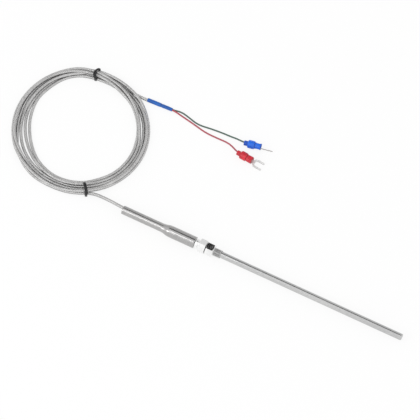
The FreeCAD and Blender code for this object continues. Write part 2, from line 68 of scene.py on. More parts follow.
# The coil's six passes in winding order, each from 300 degrees backwards by 15: (radius, height). A script
# outside this one worked them out, from radii read in the photograph and shifts measured on the render
COIL_PASSES = (
    ((59.9, -3.99), (59.8, -4.87), (60.1, -4.88), (59.7, -4.88), (59.5, -4.88), (58.5, -4.88),
     (56.5, -4.88), (56.3, -4.88), (57.2, -4.88), (58.2, -4.88), (59.0, -4.88), (60.1, -4.88),
     (59.9, -4.88), (60.8, -4.1), (59.1, -2.24), (58.9, -2.3), (59.4, -2.4), (59.2, -4.0), (58.9, -4.88),
     (58.6, -4.88), (58.4, -4.88), (57.9, -4.88), (57.5, -4.88), (58.2, -3.09)),
    ((58.5, -1.69), (58.5, -2.55), (57.4, -4.88), (58.5, -2.45), (58.8, -2.27), (59.8, -2.5),
     (60.1, -4.88), (60.7, -4.88), (61.3, -4.88), (61.4, -4.88), (61.7, -4.88), (61.8, -4.88),
     (61.6, -3.2), (58.8, -1.48), (56.1, -2.18), (54.5, -2.25), (53.0, -2.57), (51.6, -2.44),
     (50.7, -2.39), (51.6, -4.88), (51.8, -4.88), (51.7, -4.88), (51.7, -4.88), (50.8, -4.87)),
    ((51.8, -1.82), (51.6, -2.35), (51.3, -2.3), (50.0, -3.51), (49.2, -4.18), (48.7, -4.88),
     (49.2, -4.88), (50.4, -4.88), (51.7, -4.88), (53.2, -4.88), (54.3, -4.88), (57.1, -4.88),
     (57.3, -4.88), (55.6, -4.1), (55.7, -4.84), (55.9, -4.88), (57.2, -4.88), (57.3, -3.01),
     (57.3, -2.68), (57.1, -2.65), (56.9, -2.64), (56.9, -2.38), (56.9, -2.24), (56.1, -4.87)),
    ((56.3, -3.99), (55.3, -4.87), (54.7, -4.88), (55.1, -4.88), (55.8, -4.88), (57.1, -2.56),
     (58.9, -2.48), (59.0, -2.72), (59.5, -2.87), (59.8, -2.68), (59.9, -2.32), (59.5, -2.23),
     (58.6, -2.24), (56.0, -1.45), (53.5, -2.19), (51.4, -3.13), (51.6, -4.88), (50.4, -4.88),
     (49.7, -4.88), (49.0, -4.88), (49.1, -4.88), (49.0, -4.88), (49.0, -4.88), (48.2, -4.87)),
    ((49.4, -3.99), (48.8, -4.87), (48.6, -4.88), (47.7, -4.88), (46.6, -4.88), (45.5, -4.88),
     (45.3, -4.88), (46.5, -4.88), (48.4, -4.88), (51.1, -4.88), (52.0, -4.88), (54.5, -4.88),
     (55.4, -4.88), (53.3, -4.1), (53.0, -4.84), (53.2, -4.88), (54.6, -4.88), (55.0, -4.88),
     (54.6, -4.88), (54.4, -4.88), (54.4, -4.88), (54.3, -4.88), (54.3, -4.88), (53.5, -4.87)),
    ((53.4, -3.99), (52.6, -4.87), (52.1, -4.88), (52.4, -4.88), (52.9, -4.88), (53.2, -4.88),
     (53.3, -4.88), (53.7, -4.88), (54.3, -4.88), (54.6, -2.52), (55.8, -2.62), (56.3, -2.47),
     (56.1, -2.5), (58.0, -4.1)),
)
FIRST_COIL_ANGLE = 300
# Steps of the first pass that the cable's way in takes the place of
COIL_START_STEP = 3

# Leads: diameter of the wire, and over the thread that is wound round it
LEAD_OVER_THREAD_D = 1.45
GREEN_LEAD = (
    (-106.1, 107.2, -5.05), (-95.0, 107.9, -5.05), (-87.5, 109.7, -5.5), (-80.0, 108.3, -5.6),
    (-69.0, 105.2, -5.6), (-57.0, 106.8, -5.5), (-46.5, 107.7, -5.5), (-38.0, 107.8, -5.3),
    (-31.5, 107.5, -3.4), (-27.6, 106.7, -2.0), (-20.0, 107.2, -2.46),
)
RED_LEAD = (
    (-106.1, 107.2, -3.95), (-95.0, 107.6, -3.90), (-83.5, 106.0, -5.4), (-71.5, 103.9, -5.6),
    (-59.5, 101.3, -5.6), (-48.0, 101.0, -5.3), (-37.5, 101.1, -4.8), (-31.0, 98.6, -3.2),
    (-26.8, 96.2, -2.2), (-21.0, 95.2, -2.52),
)

# Heat shrink
SHRINK_START = (-119.1, 106.66, -4.50)
SHRINK_YAW = 2.4
SHRINK_LENGTH = 23.9
SHRINK_PROFILE = (
    (0, 1.58), (0.25, 1.76), (0.6, 1.82), (3, 1.82), (6, 1.8), (9, 1.83), (11.5, 1.82), (12.6, 1.78),
    (13.0, 1.6), (13.4, 1.52), (14.2, 1.7), (16, 1.74), (19, 1.72), (21.5, 1.7), (23.0, 1.66), (23.6, 1.6),
    (23.9, 1.5),
)
# Where the braid ends inside it, and its wall before and after that
BRAID_END = 13.0
BRAID_WALL = 0.4
LEADS_WALL = 0.3

# Ties: direction from the coil's centre. Bands: reach at the coil's hole and outside it, bulge sideways, and
# skew. Tails: reach at both ends, offset sideways at the start, middle and end, and height at the start,
# near the end and at the end
TIE_ANGLES = {"top": 102.4, "bottom": -59.2}
TIE_LOW_Z = FLOOR_Z + 0.5
TIE_HIGH_Z = 0.45
TIE_HALF_WIDTH = 1.15
TIE_HALF_THICKNESS = 0.5
TIE_INSET = 0.45
TIE_SQUARENESS = 0.4
TIE_SECTION_SQUARENESS = 0.7
TAIL_LOBE_R = 0.42
TAIL_TURNS = 1.6
TIE_BANDS = {"top": (51.2, 62.4, 2.4, 1.1), "bottom": (50.6, 63.0, 0.3, -0.7)}
TIE_TAILS = {
    "top": ((57.5, 50.9), (1.4, 2.0, -0.5), (0.9, 0.9, -0.8)),
    "bottom": ((56.0, 62.6), (0.2, 1.1, 1.0), (0.9, 0.9, -0.6)),
}

# Terminals: rear end, yaw, roll and climb for each millimetre forward
BLUE_TERMINAL = ((-24.1, 106.6, -2.6), 10.0, -66.4, 0.035)
RED_TERMINAL = ((-25.2, 95.5, -2.52), -5.0, 0.0, 0.0)
FORK_TIP_X = 26.0
FORK_HALF_WIDTH = 4.0
FORK_TIP_ROUND = 0.6
FORK_ROOT_SQUARENESS = 0.72
SLOT_ROOT_SQUARENESS = 0.85
SLOT_R = 2.35
SLOT_MIDDLE_X = 20.4
NECK_HALF_WIDTH = 1.7
FORK_THICKNESS = 0.8
TONGUE_DROP = 1.4
BARREL = (4.0, 12.0)
# Plastic cap's half section, (forward, radius), from the hole in its rear to the mouth in front
CAP_PROFILE = (
    (0.9, 1.0), (0.5, 0.95), (0.3, 1.3), (0.15, 1.85), (0.0, 2.05), (0.12, 2.2), (0.5, 2.3), (1.4, 2.28),
    (2.7, 2.28), (3.1, 2.45), (3.5, 3.0), (3.9, 3.5), (4.3, 3.68), (6.0, 3.72), (8.8, 3.7), (9.4, 3.64),
    (9.65, 3.4), (9.8, 3.05), (10.1, 2.95), (10.8, 3.05), (12.0, 3.1), (14.0, 3.15), (14.9, 3.15),
    (15.3, 3.05), (15.5, 2.85), (15.42, 2.5), (15.0, 2.35), (14.4, 2.25), (14.3, 1.6),
)
# Pinch of the crimping dies: place, half height left, the dies' radius and how far they curve up, and the
# ridge between them
PINCH_X = 12.8
PINCH_HALF_HEIGHT = 2.55
DIE_R = 6.0
DIE_REACH = 5.99
RIDGE_HEIGHT = 0.14
RIDGE_WIDTH = 0.35

# Fitting
SHEATH_R = 3.0
BORE_R = 3.05
HEX_AF = 11.0
HEX_FACE_R = 5.335
BODY_HEX_TURN = -3.4
NUT_HEX_TURN = -19.8
# Body: places along the axis from its open rear end to the tip of its process thread
BODY_REAR_X = -10.6
SEAT_FRONT_X = -8.676
BODY_HEX_X = (-7.1, 0.0)
THREAD_END_X = 7.0
SEAT_R = 3.75
# Threads: radius of the crest, depth, pitch, and the length over which the cut begins
PROCESS_THREAD = (4.0, 0.52, 1.0, 0.9)
COUPLING_THREAD = (4.44, 0.3, 0.8, 0.3)
# Nut: places along the axis from the collar's rear face to the open front, and its radii
NUT_REAR_X = -17.8
COLLAR_FRONT_X = -15.3
NUT_HEX_X = (-14.2, -7.5)
NUT_SEAT_X = -13.49
NUT_STEP_X = -10.65
COLLAR_R = 4.6
COLLAR_NECK_R = 4.1
NUT_HOLE_R = 3.1
NUT_BORE_R = 4.2
NUT_THREAD_R = 4.5


# Shader work

class Value:
    """A socket of a finish. Sums and products on it add Math nodes."""

    def __init__(self, finish, socket):
        self.finish = finish
        self.socket = socket

    def maths(self, operation, *others):
        return self.finish.maths(operation, self, *others)

    def __add__(self, other):
        return self.maths("ADD", other)

    def __mul__(self, other):
        return self.maths("MULTIPLY", other)

    def __sub__(self, other):
        return self.maths("SUBTRACT", other)

    def __truediv__(self, other):
        return self.maths("DIVIDE", other)

    def __pow__(self, other):
        return self.maths("POWER", other)

    def __rsub__(self, other):
        return self.finish.maths("SUBTRACT", other, self)

    __radd__ = __add__
    __rmul__ = __mul__

    def sine(self):
        return self.maths("SINE")

    def size(self):
        return self.maths("ABSOLUTE")

    def whole(self):
        return self.maths("FLOOR")

    def ramp(self, low, high):
        """0 below low, 1 above high, and smooth between them."""
        settings = {"interpolation_type": "SMOOTHSTEP"}
        return self.finish.node("ShaderNodeMapRange", settings, {0: self, 1: low, 2: high})


class Finish:
    """A material made round one Principled shader."""

    def __init__(self, name, colour, **sockets):
        self.material = bpy.data.materials.new(name)
        self.material.use_nodes = True
        self.tree = self.material.node_tree
        self.shader = self.tree.nodes["Principled BSDF"]
        self.shader.inputs["Base Color"].default_value = (*colour, 1.0)
        for socket, amount in sockets.items():
            self.shader.inputs[socket.replace("_", " ")].default_value = amount

    def node(self, kind, settings=None, inputs=None, out=0):
        made = self.tree.nodes.new(kind)
        for key, amount in (settings or {}).items():
            setattr(made, key, amount)
        for key, amount in (inputs or {}).items():
            if isinstance(amount, Value):
                self.tree.links.new(amount.socket, made.inputs[key])
            else:
                made.inputs[key].default_value = amount
        return Value(self, made.outputs[out])

    def maths(self, operation, *terms):
        return self.node("ShaderNodeMath", {"operation": operation}, dict(enumerate(terms)))

    def blend(self, share, first, second):
        """Colour between two colours, each a link or three numbers."""
        ends = [c if isinstance(c, Value) else (*c, 1.0) for c in (first, second)]
        return self.node("ShaderNodeMix", {"data_type": "RGBA"}, {0: share, 6: ends[0], 7: ends[1]}, out=2)

    def place(self):
        """Object coordinates."""
        return self.node("ShaderNodeTexCoord", out=3)

    def along_and_round(self):
        """The piece's own map: millimetres along it, and a share of one turn round it."""
        parts = self.node("ShaderNodeUVMap", {"uv_map": "surface"})
        split = self.node("ShaderNodeSeparateXYZ", inputs={0: parts})
        return split, Value(self, split.socket.node.outputs[1])

    def noise(self, scale, detail=3.0, rough=0.5, stretch=(1, 1, 1)):
        spot = self.node("ShaderNodeMapping", inputs={0: self.place(), 3: stretch})
        return self.noise_at(spot, scale, detail, rough)

    def noise_at(self, spot, scale, detail, rough):
        """Noise on any vector."""
        inputs = {"Vector": spot, "Scale": scale, "Detail": detail, "Roughness": rough}
        return self.node("ShaderNodeTexNoise", inputs=inputs)

    def vector(self, x, y, z):
        return self.node("ShaderNodeCombineXYZ", inputs={0: x, 1: y, 2: z})

    def axial(self):
        """Millimetres along the probe's axis, and millimetres away from it."""
        spot = self.place()
        flat = self.node("ShaderNodeVectorMath", {"operation": "MULTIPLY"}, {0: spot, 1: (0, 1 / MM, 1 / MM)})
        away = self.node("ShaderNodeVectorMath", {"operation": "LENGTH"}, {0: flat}, out="Value")
        return self.node("ShaderNodeSeparateXYZ", inputs={0: spot}) * (1 / MM), away

    def feed(self, socket, value):
        self.tree.links.new(value.socket, self.shader.inputs[socket])
        return self

    def bump(self, height, depth, strength=1.0):
        """Relief of a height field, depth in millimetres."""
        inputs = {"Height": height, "Distance": depth * MM, "Strength": strength}
        return self.feed("Normal", self.node("ShaderNodeBump", inputs=inputs))


def braid_finish():
    """Two sets of helical wire bundles that pass over and under each other, with painted shade in the gaps
    between bundles and wires, and painted shade on the cord's flanks and underneath."""
    made = Finish("braid_steel", (0.4, 0.4, 0.4), Metallic=1.0, Roughness=0.4)
    along, around = made.along_and_round()
    bundles, lay, wires = 6.0, 13.0, 4.0
    right = (around + along / lay) * bundles
    left = (around - along / lay) * bundles
    checks = (right.whole() + left.whole()).maths("MODULO", 2.0).size()
    over = checks.ramp(0.4, 0.6)
    rise_right = (right * math.pi).sine().size()
    rise_left = (left * math.pi).sine().size()
    wire_right = (right * (math.pi * wires)).sine().size()
    wire_left = (left * (math.pi * wires)).sine().size()
    rise = rise_right * over + rise_left * (1 - over)
    wire = wire_right * over + wire_left * (1 - over)
    height = rise * 0.75 + wire * 0.25
    wear = made.noise(90.0, 3.0)
    # Painted shade: the colour darkens with the braid's relief, near black in the gaps between bundles and
    # wires
    tone = (height ** 0.7) * 0.75 + wear * 0.35
    # Painted shade: darker on the cord's flanks and darkest on its underside
    tone = tone * (0.22 + (around * TURN).sine().ramp(-0.45, 0.65) * 0.78)
    made.feed("Base Color", made.blend(tone.ramp(0.1, 0.95), (0.012, 0.012, 0.013), (0.74, 0.735, 0.73)))
    made.feed("Roughness", 0.5 - height * 0.16)
    return made.bump(height, 0.16, 0.9)


def drawn_tube_finish():
    """Ground tube: fine slanting grinding lines over a mirror."""
    made = Finish("drawn_steel", (0.8, 0.8, 0.8), Metallic=1.0, Roughness=0.14)
    along, around = made.along_and_round()
    lean = made.vector(along * 0.9 + around * 26.0, around * 9.0, 0.0)
    lines = made.noise_at(lean, 1.0, 2.0, 0.6)
    haze = made.noise(60.0, 3.0, stretch=(0.25, 1, 1))
    tone = lines * 0.7 + haze * 0.3
    made.feed("Base Color", made.blend(tone.ramp(0.3, 0.7), (0.49, 0.49, 0.495), (0.62, 0.62, 0.615)))
    made.feed("Roughness", 0.15 + tone.ramp(0.35, 0.75) * 0.06)
    return made.bump(lines, 0.006, 0.2)


def satin_finish():
    """Turned and swaged tube: close rings round it and a soft haze."""
    made = Finish("swaged_steel", (0.6, 0.6, 0.6), Metallic=1.0, Roughness=0.3)
    along, around = made.along_and_round()
    spot = made.vector(along * 1.6 + around * 3.0, around * 4.0, 0.0)
    rings = made.noise_at(spot, 1.0, 3.0, 0.6)
    haze = made.noise(45.0, 4.0)
    tone = rings * 0.55 + haze * 0.45
    made.feed("Base Color", made.blend(tone.ramp(0.3, 0.7), (0.40, 0.395, 0.395), (0.49, 0.485, 0.48)))
    made.feed("Roughness", 0.2 + tone.ramp(0.3, 0.75) * 0.06)
    return made.bump(rings, 0.008, 0.14)


def plated_finish(name, threaded=False):
    """Bright plating over machined faces, with faint tool marks and duller spots, and painted shade as a grey
    band where nut and body meet. On the threaded body the process thread is duller, with painted shade in its
    grooves."""
    made = Finish(name, (0.9, 0.9, 0.9), Metallic=1.0, Roughness=0.16)
    marks = made.noise(420.0, 3.0, 0.6, stretch=(1, 0.15, 0.15))
    dull = made.noise(150.0, 4.0)
    tone = marks * 0.5 + dull * 0.5
    along, away = made.axial()
    colour = made.blend(tone.ramp(0.3, 0.7), (0.84, 0.84, 0.84), (0.98, 0.98, 0.975))
    # Painted shade: a darker grey band in the gap where nut and body meet
    colour = made.blend((along + 7.3).size().ramp(0.2, 0.5), (0.4, 0.4, 0.4), colour)
    if threaded:
        # Painted shade: darker towards the roots of the thread's grooves
        cut = made.blend(away.ramp(3.5, 3.95), (0.3, 0.3, 0.3), (0.85, 0.85, 0.845))
        colour = made.blend(along.ramp(0.0, 0.4), colour, cut)
    made.feed("Base Color", colour)
    made.feed("Roughness", 0.12 + dull.ramp(0.4, 0.75) * 0.16)
    return made.bump(marks, 0.012, 0.3)


def jacket_finish(name, light, dark):
    """Thin wire insulation of wound, glazed thread."""
    made = Finish(name, light, Roughness=0.42, Sheen_Weight=0.15)
    along, around = made.along_and_round()
    thread = ((around * 5.0 + along / 1.5) * math.pi).sine().size()
    mottle = made.noise(220.0, 3.0)
    tone = thread * 0.5 + mottle * 0.5
    made.feed("Base Color", made.blend(tone.ramp(0.15, 0.8), dark, light))
    made.feed("Roughness", 0.5 - thread * 0.14)
    return made.bump(thread, 0.05, 0.6)


def moulded_finish(name, light, dark, rough, sheen=0.0, shaded_creases=()):
    """Moulded plastic: soft mottling, a fine pebbled skin, and painted shade as darker bands at each crease
    along the piece.
    """
    made = Finish(name, light, Roughness=rough, Coat_Weight=sheen, Coat_Roughness=0.2, IOR=1.47)
    mottle = made.noise(90.0, 4.0, 0.6)
    skin = made.noise(1040.0, 2.0)
    colour = made.blend(mottle.ramp(0.3, 0.72), dark, light)
    along = made.along_and_round()[0]
    # Painted shade: darker bands at the creases and steps along the piece
    for spot in shaded_creases:
        colour = made.blend((along - spot).size().ramp(0.1, 0.55), tuple(0.72 * c for c in dark), colour)
    made.feed("Base Color", colour)
    made.feed("Roughness", rough - 0.05 + mottle * 0.1)
    return made.bump(skin, 0.03, 0.2)


def tinned_finish(name, stamped_dark_edged=False):
    """Tin over copper: dull silver with slight blotches. On a stamped sheet the edge faces are darker."""
    made = Finish(name, (0.8, 0.79, 0.78), Metallic=0.85, Roughness=0.42)
    blotch = made.noise(240.0, 4.0, 0.6)
    lines = made.noise(900.0, 2.0, stretch=(0.1, 1, 1))
    colour = made.blend(blotch.ramp(0.3, 0.75), (0.78, 0.775, 0.77), (0.92, 0.915, 0.905))
    if stamped_dark_edged:
        # Darker colour on the plate's edge faces
        around = made.along_and_round()[1]
        edge = ((around * 2).maths("FRACT") - 0.125).size()
        colour = made.blend(edge.ramp(0.12, 0.2), (0.38, 0.36, 0.36), colour)
    made.feed("Base Color", colour)
    made.feed("Roughness", (0.5 if stamped_dark_edged else 0.38) + blotch * 0.14)
    return made.bump(lines, 0.01, 0.3)


def metal_wire_finish(name, light, dark, rough):
    """Drawn wire or crimped barrel: lengthwise lines and a light tarnish."""
    made = Finish(name, light, Metallic=1.0, Roughness=rough)
    tarnish = made.noise(300.0, 4.0, 0.6)
    lines = made.noise(1200.0, 2.0, stretch=(0.06, 1, 1))
    made.feed("Base Color", made.blend(tarnish.ramp(0.35, 0.75), light, dark))
    made.feed("Roughness", rough - 0.06 + tarnish * 0.14)
    return made.bump(lines, 0.01, 0.3)


def packed_finish(name, light, dark, grain):
    """Pressed powder or set cement: grains with small pores."""
    made = Finish(name, light, Roughness=0.9)
    grains = made.noise(grain, 5.0, 0.65)
    pores = made.node("ShaderNodeTexVoronoi", inputs={"Vector": made.place(), "Scale": grain * 0.7})
    made.feed("Base Color", made.blend(grains.ramp(0.3, 0.7), dark, light))
    made.feed("Roughness", 0.82 + grains * 0.14)
    return made.bump(grains * 0.7 + pores * 0.3, 0.08, 0.6)


# Shapes

def mesh_piece(name, points, faces, maps, finish, sharp):
    """Object from points, faces and one pair of map numbers per face corner, with its faces outward."""
    quads = np.array([f if len(f) == 4 else (*f, f[2]) for f in faces])
    a, b, c, d = (points[quads[:, k]] for k in range(4))
    inside_out = (a * (np.cross(b, c) + np.cross(c, d))).sum() < 0
    if inside_out:
        faces = [f[::-1] for f in faces]
        maps = [m[::-1] for m in maps]
    mesh = bpy.data.meshes.new(name)
    mesh.from_pydata(points.tolist(), [], faces)
    layer = mesh.uv_layers.new(name="surface")
    layer.data.foreach_set("uv", np.array([pair for m in maps for pair in m], np.float32).ravel())
    mesh.polygons.foreach_set("use_smooth", np.ones(len(mesh.polygons), bool))
    if sharp:
        mesh.set_sharp_from_angle(angle=math.radians(sharp))
    mesh.materials.append(finish.material)
    mesh.update()
    made = bpy.data.objects.new(name, mesh)
    bpy.context.scene.collection.objects.link(made)
    return made


def grid_piece(name, grid, finish, ring=False, sharp=None, along=None):
    """Surface through a grid of points in millimetres, (rows, columns, 3), whose columns close round.
    With ring, the last row joins the first; otherwise each end closes in a fan on its middle."""
    rows, columns = grid.shape[:2]
    points = grid.reshape(-1, 3) * MM
    steps = rows if ring else rows - 1
    i, j = (m.ravel() for m in np.meshgrid(np.arange(steps), np.arange(columns), indexing="ij"))
    i2, j2 = (i + 1) % rows, (j + 1) % columns
    faces = np.stack([i * columns + j, i * columns + j2, i2 * columns + j2, i2 * columns + j], 1)
    if along is None:
        middles = grid.mean(1)
        along = np.concatenate([[0], np.cumsum(np.linalg.norm(np.diff(middles, axis=0), axis=1))])
    reach = np.append(along, along[-1] + 1.0)
    corners = ((reach[i], j), (reach[i], j + 1), (reach[i + 1], j + 1), (reach[i + 1], j))
    maps = np.stack([np.stack([far, turned / columns], 1) for far, turned in corners], 1)
    faces, maps = faces.tolist(), maps.tolist()
    if not ring:
        j = np.arange(columns)
        for row, reverse in ((0, True), (rows - 1, False)):
            centre = len(points)
            points = np.vstack([points, points[row * columns:(row + 1) * columns].mean(0)])
            first = row * columns
            fan = np.stack([first + j, first + (j + 1) % columns, np.full(columns, centre)], 1)
            end = np.full(columns, along[row])
            spots = np.stack([np.stack([end, turned / columns], 1) for turned in (j, j + 1, j + 0.5)], 1)
            if reverse:
                fan, spots = fan[:, ::-1], spots[:, ::-1]
            faces += fan.tolist()
            maps += spots.tolist()
    return mesh_piece(name, points, faces, maps, finish, sharp)


def unit(vectors):
    """Vectors scaled to length one."""
    return vectors / np.linalg.norm(vectors, axis=-1, keepdims=True)


def spline_line(name, points):
    """Points in millimetres of the smooth NURBS line that has the given control points."""
    data = bpy.data.curves.new(name, "CURVE")
    data.dimensions = "3D"
    data.resolution_u = 12
    spline = data.splines.new("NURBS")
    spline.points.add(len(points) - 1)
    corners = np.ones((len(points), 4))
    corners[:, :3] = np.array(points) * MM
    spline.points.foreach_set("co", corners.ravel())
    spline.order_u = 3
    spline.use_endpoint_u = True
    holder = bpy.data.objects.new(name, data)
    mesh = bpy.data.meshes.new_from_object(holder)
    line = np.empty(len(mesh.vertices) * 3, np.float32)
    mesh.vertices.foreach_get("co", line)
    bpy.data.objects.remove(holder)
    bpy.data.curves.remove(data)
    bpy.data.meshes.remove(mesh)
    return line.reshape(-1, 3).astype(float) / MM


def evenly(line, step):
    """The same line with points a step apart along it, and their distances from its start."""
    reach = np.concatenate([[0], np.cumsum(np.linalg.norm(np.diff(line, axis=0), axis=1))])
    where = np.linspace(0, reach[-1], max(2, int(round(reach[-1] / step)) + 1))
    return np.stack([np.interp(where, reach, line[:, k]) for k in range(3)], 1), where


def tube_grid(line, radius, sides):
    """Rings round a line that stays off the vertical: middle + radius (cos v sideways + sin v upwards)."""
    ahead = unit(np.gradient(line, axis=0))
    side = unit(np.cross(np.array([0, 0, 1.0]), ahead))
    up = np.cross(ahead, side)
    v = np.arange(sides) * TURN / sides
    spread = np.cos(v)[None, :, None] * side[:, None] + np.sin(v)[None, :, None] * up[:, None]
    return line[:, None] + np.broadcast_to(radius, (len(line), sides))[..., None] * spread


def eased(profile, ease):
    """Profile with each corner rounded by a small quadratic arc that starts ease before it."""
    points = np.array(profile, float)
    before, corner, after = np.roll(points, 1, 0), points, np.roll(points, -1, 0)
    run_in = np.linalg.norm(corner - before, axis=1)[:, None]
    run_out = np.linalg.norm(after - corner, axis=1)[:, None]
    start = corner + (before - corner) * np.minimum(ease / run_in, 0.4)
    end = corner + (after - corner) * np.minimum(ease / run_out, 0.4)
    share = np.linspace(0, 1, 4)[None, :, None]
    arcs = ((1 - share) ** 2 * start[:, None] + 2 * share * (1 - share) * corner[:, None]
            + share ** 2 * end[:, None])
    return arcs.reshape(-1, 2)


def divided(profile, step, closed=True):
    """Profile with more points on its long straight runs."""
    corners = np.vstack([profile, profile[:1]]) if closed else profile
    runs = np.linalg.norm(np.diff(corners, axis=0), axis=1)
    counts = np.maximum(1, np.ceil(runs / step)).astype(int)
    share = np.concatenate([np.arange(n) / n for n in counts])
    first = np.repeat(np.arange(len(counts)), counts)
    points = corners[first] + (corners[first + 1] - corners[first]) * share[:, None]
    return points if closed else np.vstack([points, corners[-1:]])


def turned_grid(profile, sides):
    """Closed profile of (x, radius) turned about X."""
    v = np.arange(sides) * TURN / sides
    x, r = profile[:, 0][:, None], profile[:, 1][:, None]
    return np.stack(np.broadcast_arrays(x, r * np.cos(v), r * np.sin(v)), 2)


def turned_piece(name, profile, finish, ease, sides, sharp, step, shape):
    """Ring-like solid turned about X from a closed profile whose corners are rounded and then shaped."""
    outline = shape(divided(eased(profile, ease), step))
    grid = turned_grid(outline, sides)
    return grid_piece(name, grid, finish, ring=True, sharp=sharp, along=outline[:, 0] - outline[:, 0].min())


def soft_least(a, b, ease):
    """Smaller of two arrays, with the corner between them rounded."""
    return 0.5 * (a + b - np.sqrt((a - b) ** 2 + ease ** 2))


def hexagon_reach(v, af, turn):
    """Distance to a hexagon's edge in each direction: half its width over the cosine from the nearest
    flat's middle, with the corners rounded."""
    reach = np.full(v.shape, np.inf)
    for k in range(6):
        off = np.cos(v - math.radians(turn + 30 + 60 * k))
        flat = np.where(off > 0.2, af / 2 / np.maximum(off, 0.2), 1e3)
        reach = flat if k == 0 else soft_least(reach, flat, 0.06)
    return reach


def hexagon_rows(x0, x1, v, af, turn):
    """Rows of (x, radius) along a hexagon from end face to end face, chamfered by a cone at both ends."""
    corner = af / 2 / math.cos(math.radians(30))
    flats = hexagon_reach(v, af, turn)
    depth = (corner - HEX_FACE_R) * math.tan(math.radians(30))
    share = np.concatenate([np.linspace(0, 1, 9), [1.5, 3.0]])
    x = np.concatenate([x0 + share * depth, [(x0 + x1) / 2], (x1 - share * depth)[::-1]])
    limit = HEX_FACE_R + np.minimum(np.abs(x - x0), np.abs(x1 - x)) / depth * (corner - HEX_FACE_R)
    radius = soft_least(np.broadcast_to(flats, (len(x), len(v))), limit[:, None], 0.05)
    return [(np.full(len(v), a), r) for a, r in zip(x, radius)]


def thread_rows(x0, x1, v, crest, depth, pitch, fade):
    """Rows of a right-hand screw thread: radius = crest less a rounded sawtooth of (x / pitch - turn),
    fading to the core near the first end and run down by a chamfer at the second."""
    x = np.arange(x0, x1 + 1e-6, pitch / 12)
    phase = (x[:, None] / pitch - v[None] / TURN) % 1.0
    tooth = np.clip(np.abs(phase - 0.5) * 2.6 - 0.3, 0, 1)
    tooth = tooth * tooth * (3 - 2 * tooth)
    start = np.clip((x - x0) / fade, 0, 1)[:, None]
    radius = crest - depth + depth * tooth * start
    limit = crest - 0.6 + np.abs(x1 - x)[:, None]
    return [(np.full(len(v), a), r) for a, r in zip(x, np.minimum(radius, limit))]


def hex_columns():
    """Directions round the axis, closest together where the two hexagons have their corners."""
    even = np.arange(240) * TURN / 240
    corners = [math.radians(turn + 60 * k) for turn in (BODY_HEX_TURN, NUT_HEX_TURN) for k in range(6)]
    near = np.concatenate([c + np.radians((-0.9, -0.45, 0, 0.45, 0.9)) for c in corners]) % TURN
    return np.unique(np.round(np.concatenate([even, near]), 5))


def lobed_piece(name, rows, v, finish, sharp):
    """Closed surface about X through rows of (x, radius) that wrap from the outside into the bore."""
    x = np.array([r[0] for r in rows])
    radius = np.array([r[1] for r in rows])
    grid = np.stack([x, radius * np.cos(v), radius * np.sin(v)], 2)
    return grid_piece(name, grid, finish, ring=True, sharp=sharp, along=x[:, 0] - x.min())


def round_rows(profile, v, ease=0.1):
    """Rows of plain circles from an open profile of (x, radius)."""
    points = eased(profile, ease)[4:-4]
    ends = [profile[0], *points.tolist(), profile[-1]]
    return [(np.full(len(v), x), np.full(len(v), r)) for x, r in ends]


def terminal_points(local, terminal):
    """Points from a terminal's own frame to where it lies: rolled about its axis, yawed, raised, moved."""
    rear, yaw, roll, climb = terminal
    roll, yaw = math.radians(roll), math.radians(yaw)
    y = local[..., 1] * math.cos(roll) - local[..., 2] * math.sin(roll)
    z = local[..., 1] * math.sin(roll) + local[..., 2] * math.cos(roll)
    x = local[..., 0]
    return np.stack([rear[0] + x * math.cos(yaw) - y * math.sin(yaw),
                     rear[1] + x * math.sin(yaw) + y * math.cos(yaw), rear[2] + z + x * climb], -1)


# Pieces

def cable_route():
    """Control points of the whole cable: out of the sleeve, round the coil and on to the heat shrink."""
    turns = np.array([spot for one in COIL_PASSES for spot in one])
    angles = np.radians(FIRST_COIL_ANGLE - TURN_STEP * np.arange(len(turns)))
    turns, angles = turns[COIL_START_STEP:], angles[COIL_START_STEP:]
    reach = turns[:, 0] / SPLINE_INSET
    x = COIL_CENTRE[0] + reach * np.cos(angles)
    y = COIL_CENTRE[1] + reach * np.sin(angles)
    return np.vstack([CABLE_LEAD, np.stack([x, y, turns[:, 1]], 1), CABLE_TAIL])


def cord_piece(name, route, diameter, finish, step, sides):
    """Round cord along the NURBS line of its route."""
    line, reach = evenly(spline_line(name + "_line", route), step)
    made = grid_piece(name, tube_grid(line, diameter / 2, sides), finish, along=reach)
    return made, line, reach[-1]


def heat_shrink_piece(finish):
    """Shrunk sleeve: full over the braid, waisted where the braid ends and drawn in over the two leads.
    Radius = SHRINK_PROFILE with faint waves, and the section over the leads is taller than it is wide."""
    where = np.linspace(0, SHRINK_LENGTH, 97)
    radius = np.interp(where, *np.array(SHRINK_PROFILE).T) + 0.02 * np.sin(where * 1.7) * np.sin(where * 0.45)
    v = np.arange(40) * TURN / 40
    over_leads = np.clip((where - 13.4) / 4, 0, 1)[:, None]
    outer = radius[:, None] * (1 - 0.06 * over_leads * np.cos(v) ** 2 + 0.01 * np.sin(3 * v + where[:, None]))
    wall = np.where(where < BRAID_END, BRAID_WALL, LEADS_WALL)[:, None]
    inner = (outer - wall)[::-1]
    yaw = math.radians(SHRINK_YAW)
    ahead = np.array([math.cos(yaw), math.sin(yaw), 0.0])
    side = np.array([-math.sin(yaw), math.cos(yaw), 0.0])
    both, reach = np.vstack([outer, inner]), np.concatenate([where, where[::-1]])
    middle = np.array(SHRINK_START) + reach[:, None] * ahead
    spread = np.cos(v)[:, None] * side + np.sin(v)[:, None] * np.array([0, 0, 1.0])
    grid = middle[:, None] + both[..., None] * spread[None]
    return grid_piece("heat_shrink_sleeve", grid, finish, ring=True, sharp=40, along=reach)


